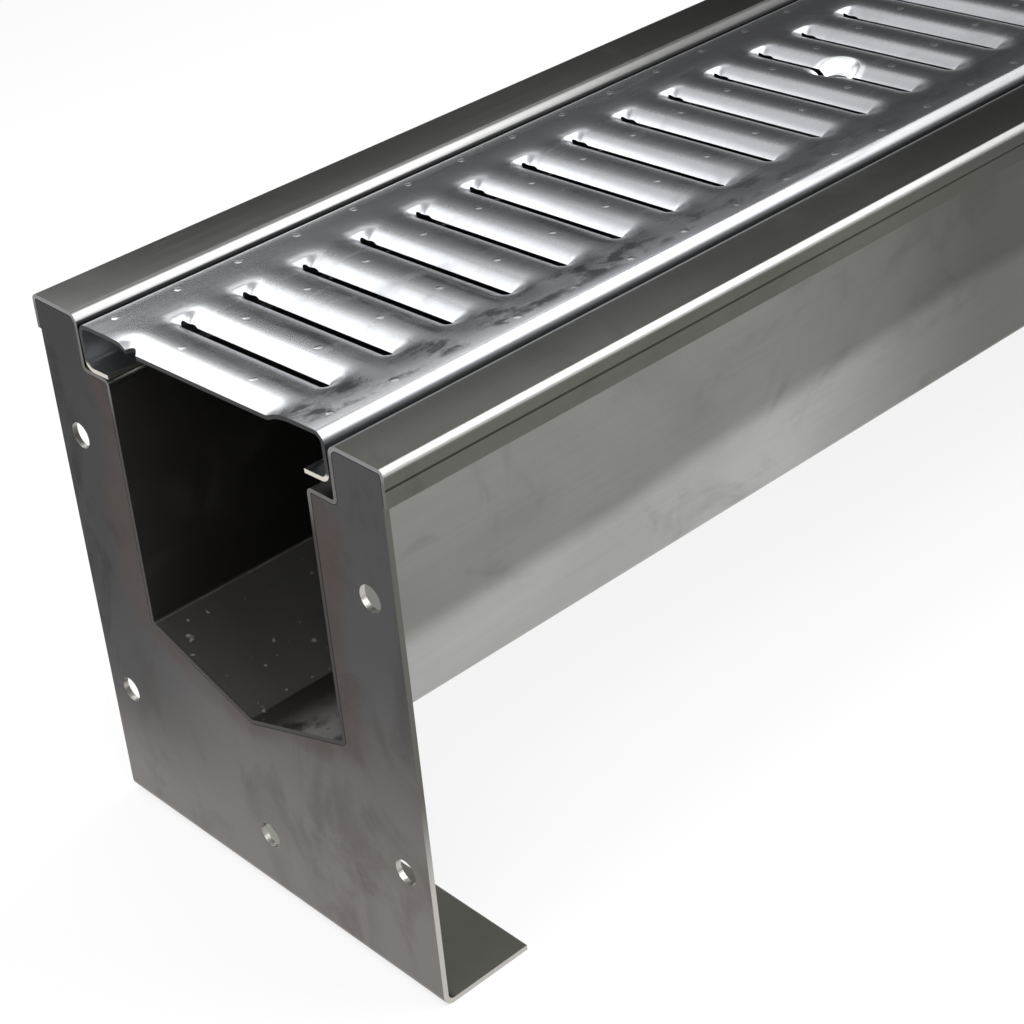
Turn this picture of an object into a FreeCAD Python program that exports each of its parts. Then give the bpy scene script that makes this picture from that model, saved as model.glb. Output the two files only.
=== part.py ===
"""Linear drain section: a folded steel channel on two footed end plates, under a pressed slotted grate.

X runs across the channel, Y along it and Z up. The origin is on the floor, under the middle of the section.
The end with the cut grate looks towards -Y.
"""
import FreeCAD, Part
import math
import os

V = FreeCAD.Vector

# Driving dimensions, in millimetres

# Channel, one folded sheet
section_length = 1000.0     # from end face to end face
flange_height = 205.0       # floor to the top of the flanges
top_width = 175.0           # over the outer skirts
skirt_height = 12.7         # flange top to the skirt's lower edge
seat_width = 125.5          # clear between the seat walls
seat_depth = 19.5           # flange top to the ledge that carries the grate
trough_width = 100.0        # clear between the trough walls
wall_depth = 114.0          # flange top to the corner where wall and floor meet
floor_fall = 16.4           # drop of the V floor from the walls to the middle
sheet = 1.5                 # channel sheet
skirt_bend = 1.0            # inside radius, skirt to flange
seat_bend = 2.5             # inside radius, flange to seat wall
ledge_bend = 1.0            # inside radius, both bends of the ledge
trough_bend = 1.5           # inside radius, walls and floor

# End plates, each folded into a foot
plate = 2.0                 # plate thickness
plate_bend = 2.5            # inside radius, plate to foot
foot_length = 37.0          # outer face of the plate to the foot's free edge
weld_gap = 0.25             # between a plate and the channel that it is welded round
bolt_hole = 9.5             # diameter
bolt_inset = 13.5           # outer face of a skirt to the column of holes below it
upper_bolt_drop = 49.0      # flange top to the upper row
lower_bolt_drop = 154.0     # flange top to the lower row
middle_bolt_drop = 180.0    # flange top to the single hole below the trough

# Grate, one pressed and folded sheet
grate_sheet = 1.5           # grate sheet
grate_height = 17.0         # return flange underside to top
grate_clearance = 0.75      # grate to seat wall, each side
grate_bend = 2.5            # inside radius of its folds
return_width = 12.0         # of the flanges folded in under the grate
grate_lift = 5.0            # how much the grate's right-hand side stands up out of its seat
slot_pitch = 25.0
slot_length = 72.0          # of the opening, tip to tip
slot_opening = 2.5          # width of the opening
end_facets = 6              # flat facets in each half-round end of a slot
lip_reach = 5.65            # rim of the dished lip to the opening
lip_depth = 3.3             # drop of the lip from rim to opening
cut_offset = 2.0            # middle of the slot that is cut through, ahead of the grate's cut end
rear_margin = 12.0          # least plain stretch between the last slot's rim and the rear end

# Lock points
lock_slot = 12              # slot that holds the lock dish, counted from either end
lock_hole = 10.0            # diameter at the bottom of the dish
lock_dish = 21.0            # diameter of the dish's rim
lock_dish_depth = 5.5
lock_bar_width = 20.0       # along the channel
lock_bar_thickness = 4.0
lock_bar_drop = 8.0         # ledge to the top of the bar
lock_thread = 8.0           # hole in the bar

# Sizes that follow
ledge_level = flange_height - seat_depth
corner_level = flange_height - wall_depth
grate_width = seat_width - 2 * grate_clearance
grate_corner = grate_bend + grate_sheet
slot_rim = slot_opening / 2 + lip_reach
slot_straight = slot_length - slot_opening
first_slot = slot_pitch - cut_offset
slot_count = 1 + math.floor((section_length - rear_margin - slot_rim - first_slot) / slot_pitch)
lock_slots = (lock_slot, slot_count + 1 - lock_slot)
front = -section_length / 2


def slot_middle(number):
    """Distance of a slot's middle from the grate's cut end, where slot 0 is the one cut through."""
    return number * slot_pitch - cut_offset


def track(corners, thickness, offset):
    """Edges of a line through the corners, moved to its right by offset, with round bends.

    A corner is (x, z, inside bend radius) of a sheet that lies to the right of the line.
    """
    points = [V(x, 0, z) for x, z, radius in corners]
    runs = [(b - a).normalize() for a, b in zip(points, points[1:])]
    rights = [V(run.z, 0, -run.x) for run in runs]
    start = points[0] + rights[0] * offset
    edges = []
    for i in range(1, len(points) - 1):
        turn = math.atan2(runs[i - 1].x * runs[i].z - runs[i - 1].z * runs[i].x, runs[i - 1].dot(runs[i]))
        side = math.copysign(1, turn)
        radius = corners[i][2] + (thickness if turn < 0 else 0)
        centre = points[i] - runs[i - 1] * radius * math.tan(abs(turn) / 2) - rights[i - 1] * side * radius
        bend = side * radius + offset
        first = centre + rights[i - 1] * bend
        middle = centre + (rights[i - 1] + rights[i]).normalize() * bend
        last = centre + rights[i] * bend
        edges.append(straight_edge(start, first))
        edges.append(Part.Arc(first, middle, last).toShape())
        start = last
    edges.append(straight_edge(start, points[-1] + rights[-1] * offset))
    return edges


def straight_edge(start, end):
    """Straight edge between two points."""
    return Part.LineSegment(start, end).toShape()


def enclosed_face(edges):
    """Flat face inside a closed ring of edges."""
    return Part.Face(Part.Wire(Part.__sortEdges__(edges)))


def face_between(edges, other_edges):
    """Face between two tracks that run the same way, closed straight across at both ends."""
    starts = [track_edges[0].Vertexes[0].Point for track_edges in (edges, other_edges)]
    ends = [track_edges[-1].Vertexes[-1].Point for track_edges in (edges, other_edges)]
    return enclosed_face(edges + other_edges + [straight_edge(*starts), straight_edge(*ends)])


def folded_sheet(corners, thickness, length):
    """Sheet folded along the corners and running for a length along Y."""
    section = face_between(track(corners, thickness, 0), track(corners, thickness, thickness))
    return section.extrude(V(0, length, 0))


def mirrored(half, middle=()):
    """Corners of a symmetric section from its left half and any corners on the middle plane."""
    return list(half) + list(middle) + [(-x, z, radius) for x, z, radius in reversed(half)]


def channel_corners(skirt_end):
    """Corners of the channel's upper face, with skirts that reach down to the level skirt_end."""
    half = [
        (-top_width / 2, skirt_end, 0),
        (-top_width / 2, flange_height, skirt_bend),
        (-seat_width / 2, flange_height, seat_bend),
        (-seat_width / 2, ledge_level, ledge_bend),
        (-trough_width / 2, ledge_level, ledge_bend),
        (-trough_width / 2, corner_level, trough_bend),
    ]
    return mirrored(half, [(0, corner_level - floor_fall, trough_bend)])


def channel_body():
    """Skirts, flanges, grate seat, walls and V floor, folded from one sheet."""
    corners = channel_corners(flange_height - skirt_height)
    body = folded_sheet(corners, sheet, section_length)
    body.translate(V(0, front, 0))
    return body


def front_end_plate():
    """Plate that the channel passes through, folded at the bottom into a foot under the channel."""
    fold_level = 2 * (plate + plate_bend)
    outline = track(channel_corners(fold_level), sheet, sheet + weld_gap)
    lower_edge = straight_edge(outline[0].Vertexes[0].Point, outline[-1].Vertexes[-1].Point)
    web = enclosed_face(outline + [lower_edge]).extrude(V(0, plate, 0))
    half_width = top_width / 2 - sheet - weld_gap
    fold_corners = [(foot_length, 0, 0), (0, 0, plate_bend), (0, fold_level, 0)]
    foot = folded_sheet(fold_corners, plate, 2 * half_width)
    foot.rotate(V(0, 0, 0), V(0, 0, 1), 90)
    foot.translate(V(half_width, 0, 0))
    rows = (upper_bolt_drop, lower_bolt_drop)
    column = top_width / 2 - bolt_inset
    holes = [(side * column, drop) for side in (-1, 1) for drop in rows]
    holes.append((0, middle_bolt_drop))
    drills = [
        Part.makeCylinder(bolt_hole / 2, 3 * plate, V(x, -plate, flange_height - drop), V(0, 1, 0))
        for x, drop in holes
    ]
    body = web.fuse(foot).removeSplitter().cut(Part.makeCompound(drills))
    body.translate(V(0, front, 0))
    return body


def turned_round(shape):
    """Copy of a shape for the other end of the section."""
    copy = shape.copy()
    copy.rotate(V(0, 0, 0), V(0, 0, 1), 180)
    return copy


def slot_loop(offset, level):
    """Corners of a loop round a slot, at an offset from the slot's straight middle line."""
    turns = [math.pi * (i / end_facets - 0.5) for i in range(end_facets + 1)]
    middle_x = slot_straight / 2
    half = [V(middle_x + offset * math.cos(turn), offset * math.sin(turn), level) for turn in turns]
    return half + [V(-point.x, -point.y, level) for point in half]


def flat_face(corners):
    """Flat face inside a loop of corners."""
    return Part.Face(Part.makePolygon(corners + corners[:1]))


def slot_block(offset, bottom, top):
    """Upright block that fills a slot out to an offset from its middle line."""
    return flat_face(slot_loop(offset, bottom)).extrude(V(0, 0, top - bottom))


def lip_section(opening, reach, depth):
    """Points (distance, level) of sheet pressed down over the reach from a rim to an opening's edge.

    The rim is on level 0, and the opening is its distance from the middle.
    """
    slope = math.atan2(depth, reach)
    rim = opening + reach
    return [
        (rim, 0),
        (opening, -depth),
        (opening + grate_sheet * math.sin(slope), -depth - grate_sheet * math.cos(slope)),
        (rim + grate_sheet * math.tan(slope / 2), -grate_sheet),
        (rim, -grate_sheet),
    ]


def slot_lip():
    """Dished lip all round a slot, with its rim at level 0: flat facets from each loop to the next."""
    section = lip_section(slot_opening / 2, lip_reach, lip_depth)
    loops = [slot_loop(offset, level) for offset, level in section]
    facets = []
    for loop, other in zip(loops, loops[1:] + loops[:1]):
        for i in range(len(loop)):
            facets.append(flat_face([loop[i - 1], loop[i], other[i], other[i - 1]]))
    return Part.Solid(Part.Shell(facets))


def lock_dish_lip():
    """Round dish that a lock screw's head sinks into, rim at level 0."""
    section = lip_section(lock_hole / 2, (lock_dish - lock_hole) / 2, lock_dish_depth)
    return flat_face([V(radius, 0, level) for radius, level in section]).revolve(V(0, 0, 0), V(0, 0, 1), 360)


def at_slot(shape, number):
    """Copy of a shape with its rim in the grate's top face at a slot."""
    copy = shape.copy()
    copy.translate(V(0, slot_middle(number), grate_height))
    return copy


def level_grate():
    """Grate with its cut end at Y 0 and its return flanges on level 0."""
    half = [
        (-grate_width / 2 + return_width, 0, 0),
        (-grate_width / 2, 0, grate_bend),
        (-grate_width / 2, grate_height, grate_bend),
    ]
    body = folded_sheet(mirrored(half), grate_sheet, section_length)
    window = slot_block(slot_rim, -2 * grate_sheet, grate_sheet)
    body = body.cut(Part.makeCompound([at_slot(window, n) for n in range(slot_count + 1)]))
    ahead = Part.makeBox(grate_width, slot_pitch, 2 * grate_height, V(-grate_width / 2, -slot_pitch, 0))
    lip = slot_lip()
    lips = [at_slot(lip, n) for n in range(1, slot_count + 1)]
    lips.append(at_slot(lip, 0).cut(ahead))
    body = body.multiFuse(lips)
    opening = slot_block(slot_opening / 2, -grate_height, grate_sheet)
    well = Part.makeCylinder(lock_dish / 2, 2 * grate_height, V(0, 0, -grate_height))
    for number in lock_slots:
        body = body.cut(at_slot(well, number)).fuse(at_slot(lock_dish_lip(), number))
        body = body.cut(at_slot(opening, number))
    return body.removeSplitter()


def grate():
    """Grate as it lies: left-hand fold down on its ledge, right-hand side standing up by the lift."""
    fold_half_gap = grate_width / 2 - grate_corner
    tilt = math.asin(grate_lift / (2 * fold_half_gap))
    level = ledge_level + grate_corner * (1 - math.cos(tilt)) + fold_half_gap * math.sin(tilt)
    place = V(grate_height / 2 * math.sin(tilt), front, level)
    body = level_grate()
    body.Placement = FreeCAD.Placement(place, FreeCAD.Rotation(V(0, 1, 0), -math.degrees(tilt)))
    return body


def lock_bar(number):
    """Threaded flat bar across the trough, welded in under the lock dish of a slot."""
    top = ledge_level - lock_bar_drop
    middle = front + slot_middle(number)
    corner = V(-trough_width / 2, middle - lock_bar_width / 2, top - lock_bar_thickness)
    bar = Part.makeBox(trough_width, lock_bar_width, lock_bar_thickness, corner)
    drill_start = V(0, middle, top - 2 * lock_bar_thickness)
    return bar.cut(Part.makeCylinder(lock_thread / 2, 3 * lock_bar_thickness, drill_start))


def main():
    """Builds each piece and writes it to its own file."""
    front_plate = front_end_plate()
    pieces = {
        "channel_body": channel_body(),
        "front_end_plate": front_plate,
        "rear_end_plate": turned_round(front_plate),
        "grate": grate(),
        "front_lock_bar": lock_bar(lock_slots[0]),
        "rear_lock_bar": lock_bar(lock_slots[1]),
    }
    os.makedirs("parts", exist_ok=True)
    for name, shape in pieces.items():
        shape.exportStep(f"parts/{name}.step")
        print(name, shape.isValid(), len(shape.Solids), round(shape.Volume), shape.BoundBox)


main()
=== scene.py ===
"""Looks of a linear drain section: folded channel, welded end plates, lock bars and a slotted grate.

Lengths are in metres in the part's own frame: X across the channel, Y along it and Z up from the floor.
The grate's cut end and the plate beside it look towards -Y.
"""

import logging
import math
from dataclasses import dataclass, field
from enum import Enum
from typing import Any, Union

import bmesh
import bpy
import numpy as np
from mathutils import Matrix, Vector


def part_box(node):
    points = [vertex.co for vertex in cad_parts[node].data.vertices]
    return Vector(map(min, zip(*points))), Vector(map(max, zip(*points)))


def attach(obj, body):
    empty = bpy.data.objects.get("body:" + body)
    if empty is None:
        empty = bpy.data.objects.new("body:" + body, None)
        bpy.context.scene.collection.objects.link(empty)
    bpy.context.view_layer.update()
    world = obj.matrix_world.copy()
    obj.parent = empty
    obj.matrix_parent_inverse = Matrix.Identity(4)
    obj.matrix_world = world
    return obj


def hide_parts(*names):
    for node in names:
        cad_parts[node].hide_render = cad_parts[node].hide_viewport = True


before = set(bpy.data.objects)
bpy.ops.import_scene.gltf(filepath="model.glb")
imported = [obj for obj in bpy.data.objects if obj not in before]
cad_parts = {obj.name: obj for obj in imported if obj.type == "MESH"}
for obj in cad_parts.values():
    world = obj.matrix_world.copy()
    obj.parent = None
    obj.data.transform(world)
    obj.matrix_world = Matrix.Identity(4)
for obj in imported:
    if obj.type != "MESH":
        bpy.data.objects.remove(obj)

MM = 0.001
SMALL = 1e-9
ROOT = "root"
EDGE_MASK = "cut_edge"
INSIDE_MASK = "inside"
LOG = logging.getLogger("linear_drain")

Color = tuple[float, float, float]
Point = tuple[float, float, float]
Scale = tuple[float, float, float]
Socket = bpy.types.NodeSocket
Value = Union[float, Socket]
Tint = Union[Color, Socket]


class Side(Enum):
    """Side of the channel, seen from its front end."""

    LEFT = -1
    RIGHT = 1


class End(Enum):
    """End of the section: the front has the grate's cut slot."""

    FRONT = -1
    REAR = 1


class Blend(Enum):
    """How one colour is laid over another."""

    MIX = "MIX"
    MULTIPLY = "MULTIPLY"


class Sum(Enum):
    """Arithmetic between two values of a finish."""

    ADD = "ADD"
    SUBTRACT = "SUBTRACT"
    MULTIPLY = "MULTIPLY"
    MAXIMUM = "MAXIMUM"
    MINIMUM = "MINIMUM"
    FRACTION = "FRACT"
    SIZE = "ABSOLUTE"


def folded_line(corners: np.ndarray, sheet: float, offset: float, steps: int) -> np.ndarray:
    """Line along a folded sheet's face, moved sideways, with round bends.

    Each run is moved to its right by the offset. At a corner the line follows an arc about the bend's
    centre, which lies one radius off both runs: the inside radius where the sheet turns left, and that
    plus the sheet where it turns right.

    Args:
        corners: rows of (x, z, inside bend radius), with the sheet to the right of the line.
        sheet: thickness of the sheet.
        offset: distance to the right of the corners' own line.
        steps: straight steps in each bend.

    Returns:
        Points of the line, as rows of (x, z).
    """
    points = corners[:, :2]
    runs = np.diff(points, axis=0)
    runs /= np.linalg.norm(runs, axis=1, keepdims=True)
    rights = np.stack([runs[:, 1], -runs[:, 0]], axis=1)
    before, after = runs[:-1], runs[1:]
    turn = np.arctan2(before[:, 0] * after[:, 1] - before[:, 1] * after[:, 0], (before * after).sum(axis=1))
    side = np.sign(turn)
    radius = corners[1:-1, 2] + np.where(turn < 0, sheet, 0.0)
    back = radius * np.tan(np.abs(turn) / 2)
    centre = points[1:-1] - before * back[:, None] - rights[:-1] * (side * radius)[:, None]
    angle = turn[:, None] * np.linspace(0.0, 1.0, steps + 1)
    cosine, sine = np.cos(angle), np.sin(angle)
    right_x, right_z = rights[:-1, 0, None], rights[:-1, 1, None]
    heading = np.stack([right_x * cosine - right_z * sine, right_x * sine + right_z * cosine], axis=2)
    arcs = centre[:, None, :] + heading * (side * radius + offset)[:, None, None]
    first = points[:1] + rights[:1] * offset
    last = points[-1:] + rights[-1:] * offset
    return np.concatenate([first, arcs.reshape(-1, 2), last])


def swept(line: np.ndarray, stations: np.ndarray) -> np.ndarray:
    """Grid of a section line carried straight along Y.

    Args:
        line: rows of (x, z).
        stations: Y of each row of the grid.

    Returns:
        Points of shape (stations, line points, 3).
    """
    grid = np.empty((len(stations), len(line), 3))
    grid[..., 0] = line[:, 0]
    grid[..., 1] = stations[:, None]
    grid[..., 2] = line[:, 1]
    return grid


@dataclass
class Skin:
    """Grids of points that are joined into one closed skin."""

    weld: float = 1e-6
    points: list[np.ndarray] = field(default_factory=list)
    quads: list[np.ndarray] = field(default_factory=list)
    masks: list[np.ndarray] = field(default_factory=list)
    total: int = 0

    def add(self, grid: np.ndarray, cut_edge: float = 0.0, inside: float = 0.0) -> None:
        """Adds one grid, or a stack of grids, as quads between neighbouring points.

        Args:
            grid: points of shape (..., rows, columns, 3).
            cut_edge: 1 where the grid is a bare cut edge of the sheet.
            inside: 1 where the grid faces the inside of the part.
        """
        rows, columns = grid.shape[-3:-1]
        flat = grid.reshape(-1, rows * columns, 3)
        row, column = np.meshgrid(np.arange(rows - 1), np.arange(columns - 1), indexing="ij")
        corner = (row * columns + column).reshape(-1, 1)
        quads = corner + np.array([0, 1, columns + 1, columns])
        starts = self.total + np.arange(len(flat)) * rows * columns
        stacked = (quads[None] + starts[:, None, None]).reshape(-1, 4)
        self.points.append(flat.reshape(-1, 3))
        self.quads.append(stacked)
        self.masks.append(np.broadcast_to([cut_edge, inside], (len(stacked), 2)))
        self.total += flat.shape[0] * flat.shape[1]

    def mesh(self, name: str, crease: float) -> bpy.types.Mesh:
        """Welds the grids' shared points, drops empty faces and turns the faces outwards.

        Args:
            name: name of the mesh.
            crease: angle in degrees beyond which an edge stays sharp.

        Returns:
            The finished mesh, with both masks as attributes of its faces.
        """
        points = np.concatenate(self.points)
        keys = np.round(points / self.weld).astype(np.int64)
        _, first, index = np.unique(keys, axis=0, return_index=True, return_inverse=True)
        quads = index.reshape(-1)[np.concatenate(self.quads)]
        masks = np.concatenate(self.masks)
        same = quads == np.roll(quads, -1, axis=1)
        crossed = (quads[:, 0] == quads[:, 2]) | (quads[:, 1] == quads[:, 3])
        whole = (same.sum(axis=1) == 0) & ~crossed
        folded = (same.sum(axis=1) == 1) & ~crossed
        kept = np.argsort(same[folded], axis=1, kind="stable")[:, :3]
        corners = np.take_along_axis(quads[folded], np.sort(kept, axis=1), axis=1)
        mesh = bpy.data.meshes.new(name)
        mesh.from_pydata(points[first].tolist(), [], quads[whole].tolist() + corners.tolist())
        shell = bmesh.new()
        shell.from_mesh(mesh)
        bmesh.ops.recalc_face_normals(shell, faces=shell.faces)
        shell.to_mesh(mesh)
        shell.free()
        values = np.concatenate([masks[whole], masks[folded]]).astype(np.float32)
        for mask_name, column in zip((EDGE_MASK, INSIDE_MASK), values.T):
            mask = mesh.attributes.new(mask_name, "FLOAT", "FACE")
            mask.data.foreach_set("value", np.ascontiguousarray(column))
        mesh.shade_smooth()
        mesh.set_sharp_from_angle(angle=math.radians(crease))
        return mesh


class Graph:
    """Node graph of one finish, written as nested calls, with the colour that is laid so far."""

    def __init__(self, owner: bpy.types.ID, tone: Color = (0.0, 0.0, 0.0)) -> None:
        """Empties the owner's tree.

        Args:
            owner: material or world that the graph belongs to.
            tone: first colour.
        """
        owner.use_nodes = True
        self.tree = owner.node_tree
        self.tree.nodes.clear()
        self.tone: Tint = tone

    def feed(self, socket: Socket, value: Any) -> None:
        """Links a socket to another, or sets its own value.

        Args:
            socket: input of a node.
            value: socket to link it to, or its own value.
        """
        if isinstance(value, bpy.types.NodeSocket):
            self.tree.links.new(value, socket)
        elif isinstance(value, tuple) and socket.type == "RGBA":
            socket.default_value = (*value, 1.0)
        else:
            socket.default_value = value

    def node(self, kind: str, **inputs: Any) -> bpy.types.Node:
        """Adds a node.

        Args:
            kind: its kind, without the words that every kind starts with.
            inputs: values of its inputs, or sockets to link them to.

        Returns:
            The node.
        """
        made = self.tree.nodes.new(f"ShaderNode{kind}")
        for name, value in inputs.items():
            self.feed(made.inputs[name], value)
        return made

    @property
    def place(self) -> Socket:
        """Object coordinates of the surface point."""
        return self.node("TexCoord").outputs["Object"]

    def spread(self, scale: Scale, shift: Point = (0.0, 0.0, 0.0)) -> Socket:
        """Object coordinates, scaled by repeats per metre and then shifted."""
        return self.node("Mapping", Vector=self.place, Scale=scale, Location=shift).outputs["Vector"]

    def parts(self, vector: Socket) -> tuple[Socket, Socket, Socket]:
        """X, Y and Z of a vector."""
        return tuple(self.node("SeparateXYZ", Vector=vector).outputs)

    def axes(self) -> tuple[Socket, Socket, Socket]:
        """X, Y and Z of the surface point."""
        return self.parts(self.place)

    def facing(self) -> tuple[Socket, Socket, Socket]:
        """X, Y and Z of the direction that the surface faces."""
        return self.parts(self.node("NewGeometry").outputs["Normal"])

    def mask(self, name: str) -> Socket:
        """Value that a mesh carries on its faces.

        Args:
            name: name of the mesh's attribute.

        Returns:
            The value socket.
        """
        node = self.node("Attribute")
        node.attribute_name = name
        return node.outputs["Fac"]

    def noise(self, vector: Socket, detail: float = 3.0, rough: float = 0.5, twist: float = 0.0) -> Socket:
        """Cloudy value from 0 to 1, by its octaves, the strength of the finer ones and its distortion."""
        settings = {"Scale": 1.0, "Detail": detail, "Roughness": rough, "Distortion": twist}
        return self.node("TexNoise", Vector=vector, **settings).outputs["Fac"]

    def ramp(self, value: Value, low: float, high: float, bottom: float = 0.0, top: float = 1.0) -> Socket:
        """Smooth step of a value.

        Args:
            value: value to map.
            low: where the step starts.
            high: where it ends.
            bottom: result up to low.
            top: result from high on.

        Returns:
            The value socket.
        """
        node = self.node("MapRange", Value=value)
        node.interpolation_type = "SMOOTHSTEP"
        for name, entry in zip(("From Min", "From Max", "To Min", "To Max"), (low, high, bottom, top)):
            self.feed(node.inputs[name], entry)
        return node.outputs["Result"]

    def band(self, value: Value, start: float, full: float, ebb: float, end: float) -> Socket:
        """Mask that rises from start to full, and falls again from ebb to end."""
        return self.both(self.ramp(value, start, full), self.ramp(value, end, ebb))

    def sum(self, kind: Sum, first: Value, second: Value = 0.0) -> Socket:
        """Arithmetic between two values.

        Args:
            kind: the operation.
            first: first value.
            second: second value, where the operation has one.

        Returns:
            The value socket.
        """
        node = self.node("Math")
        node.operation = kind.value
        self.feed(node.inputs[0], first)
        self.feed(node.inputs[1], second)
        return node.outputs[0]

    def less(self, first: Value, second: Value) -> Socket:
        """First value less the second."""
        return self.sum(Sum.SUBTRACT, first, second)

    def size(self, value: Value) -> Socket:
        """Value without its sign."""
        return self.sum(Sum.SIZE, value)

    def both(self, *values: Value) -> Socket:
        """Product of several masks.

        Args:
            values: the masks, or shares of them.

        Returns:
            The value socket.
        """
        product = values[0]
        for value in values[1:]:
            product = self.sum(Sum.MULTIPLY, product, value)
        return product

    def apart(self, first: Value, second: Value, middle: tuple[float, float]) -> Socket:
        """Squared distance of two coordinates from a middle point."""
        off = [self.less(value, centre) for value, centre in zip((first, second), middle)]
        return self.sum(Sum.ADD, self.both(off[0], off[0]), self.both(off[1], off[1]))

    def over(self, under: Tint, upper: Tint, share: Value, blend: Blend = Blend.MIX) -> Socket:
        """One colour laid over another.

        Args:
            under: colour below.
            upper: colour on top.
            share: how much of the top colour shows.
            blend: how it is laid on.

        Returns:
            The colour socket.
        """
        node = self.node("Mix")
        node.data_type = "RGBA"
        node.blend_type = blend.value
        # The node has sockets for other kinds of data too, so its colours are the seventh and eighth
        for index, value in ((0, share), (6, under), (7, upper)):
            self.feed(node.inputs[index], value)
        return node.outputs[2]

    def paint(self, color: Tint, share: Value) -> None:
        """Lays a colour over the tone so far."""
        self.tone = self.over(self.tone, color, share)

    def tint(self, color: Tint, share: Value) -> None:
        """Multiplies the tone so far by a colour."""
        self.tone = self.over(self.tone, color, share, Blend.MULTIPLY)

    def surface(self, shader: bpy.types.Node, output: str = "OutputMaterial") -> None:
        """Links a shader to the graph's output."""
        self.node(output, Surface=shader.outputs[0])


@dataclass(frozen=True)
class SteelFinish:
    """Stainless sheet with rolling grain, cloudy tone, smears and bare cut edges."""

    name: str
    clean: Color
    smeared: Color
    edge: Color
    smooth: float
    dull: float
    grain: Scale = (900.0, 14.0, 900.0)
    grain_tint: Color = (0.97, 0.97, 0.97)
    grain_rough: float = 0.03
    grain_strength: float = 0.012
    grain_height: float = 0.03 * MM
    cloud: Scale = (9.0, 3.0, 9.0)
    cloud_tint: Color = (0.68, 0.68, 0.67)
    cloud_share: float = 0.5
    smear: Scale = (46.0, 12.0, 46.0)
    smear_from: float = 0.52
    smear_to: float = 0.75

    def material(self) -> bpy.types.Material:
        """Builds the finish as a node material.

        Returns:
            The material.
        """
        material = bpy.data.materials.new(self.name)
        graph = Graph(material, self.clean)
        grain = graph.noise(graph.spread(self.grain), detail=2.0)
        cloud = graph.noise(graph.spread(self.cloud), detail=4.0, twist=0.6)
        smear = graph.noise(graph.spread(self.smear), detail=5.0, rough=0.6, twist=1.2)
        smear = graph.ramp(smear, self.smear_from, self.smear_to)
        graph.paint(self.smeared, smear)
        graph.tint(self.cloud_tint, graph.ramp(cloud, 0.42, 0.7, 0.0, self.cloud_share))
        graph.tint(self.grain_tint, graph.ramp(grain, 0.35, 0.65))
        marked = self.mark(graph)
        graph.paint(self.edge_tone(graph), self.bare(graph))
        rough = graph.ramp(grain, 0.3, 0.7, self.smooth, self.smooth + self.grain_rough)
        for mask in (smear, marked):
            rough = graph.sum(Sum.ADD, rough, graph.both(mask, self.dull - self.smooth))
        relief = graph.node("Bump", Strength=self.grain_strength, Distance=self.grain_height, Height=grain)
        metal = graph.node("BsdfPrincipled", Metallic=1.0, Roughness=rough, Normal=relief.outputs["Normal"])
        graph.feed(metal.inputs["Base Color"], graph.tone)
        graph.surface(metal)
        return material

    def mark(self, graph: Graph) -> Value:
        """Lays on the marks of this piece alone, and gives a mask of where it is duller."""
        return 0.0

    def bare(self, graph: Graph) -> Socket:
        """1 on the bare cut edges of the sheet."""
        return graph.mask(EDGE_MASK)

    def edge_tone(self, graph: Graph) -> Tint:
        """Colour of the cut edges."""
        return self.edge


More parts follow.
